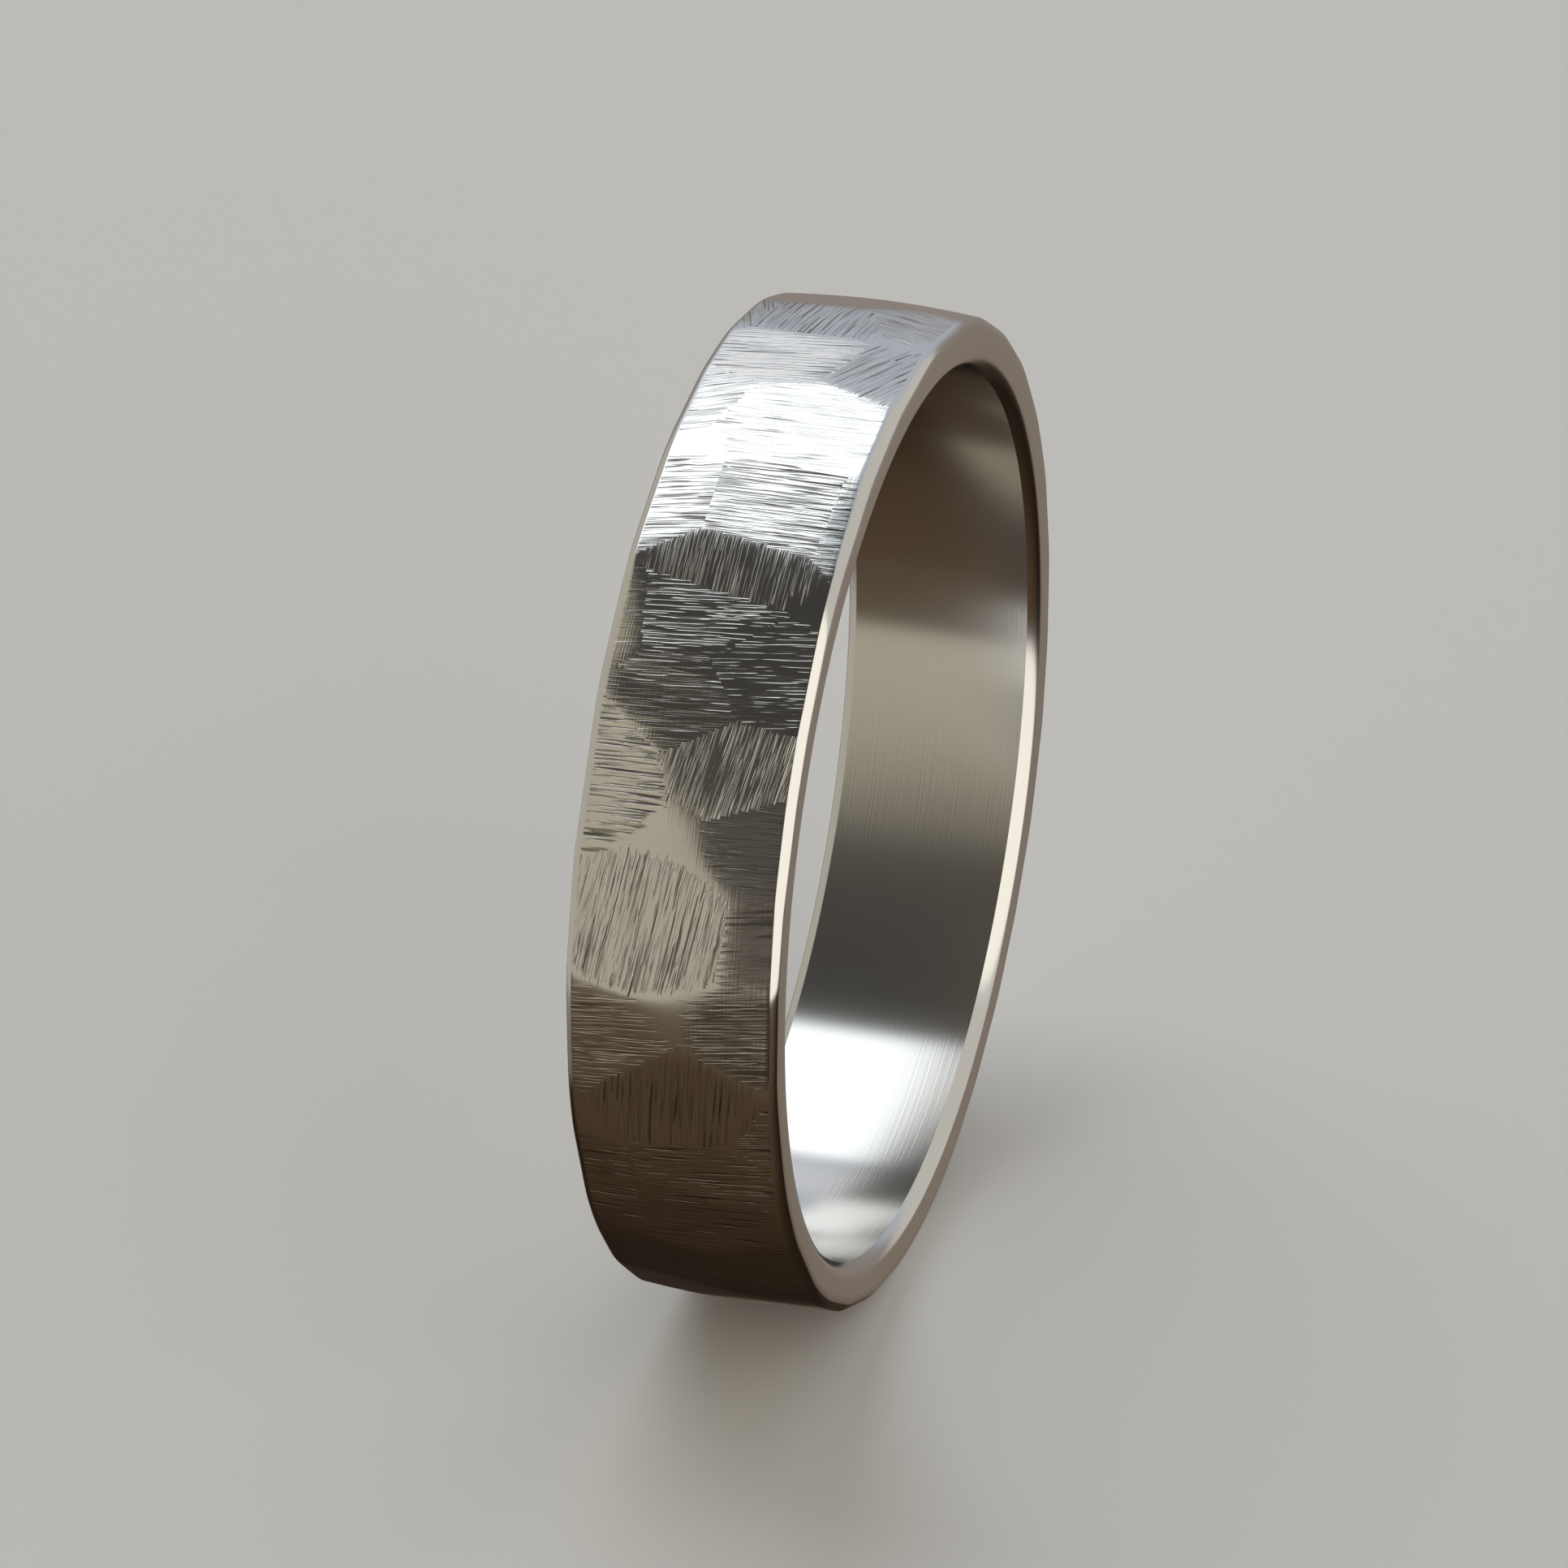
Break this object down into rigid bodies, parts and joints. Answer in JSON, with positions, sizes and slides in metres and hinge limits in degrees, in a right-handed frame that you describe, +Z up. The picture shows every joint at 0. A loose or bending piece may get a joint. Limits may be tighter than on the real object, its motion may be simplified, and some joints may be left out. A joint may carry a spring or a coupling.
{
  "type": "wedding band",
  "caption": "Plain one-piece wedding band, dressed all over the outside with shallow hand-cut flats, with softened edges and a smooth bore.",
  "frame": {"origin": "centre of the finger bore, halfway across the band", "axes": "+X along the axis of the finger bore, +Z up with the band standing on its edge, -Y towards the viewer's side"},
  "size_m": [0.004, 0.0193, 0.0193],
  "materials": {
    "white_metal": "satin flats with fine file strokes, polished edges and softly brushed bore"
  },
  "bodies": {
    "root": {"band": "white_metal"}
  },
  "joints": []
}
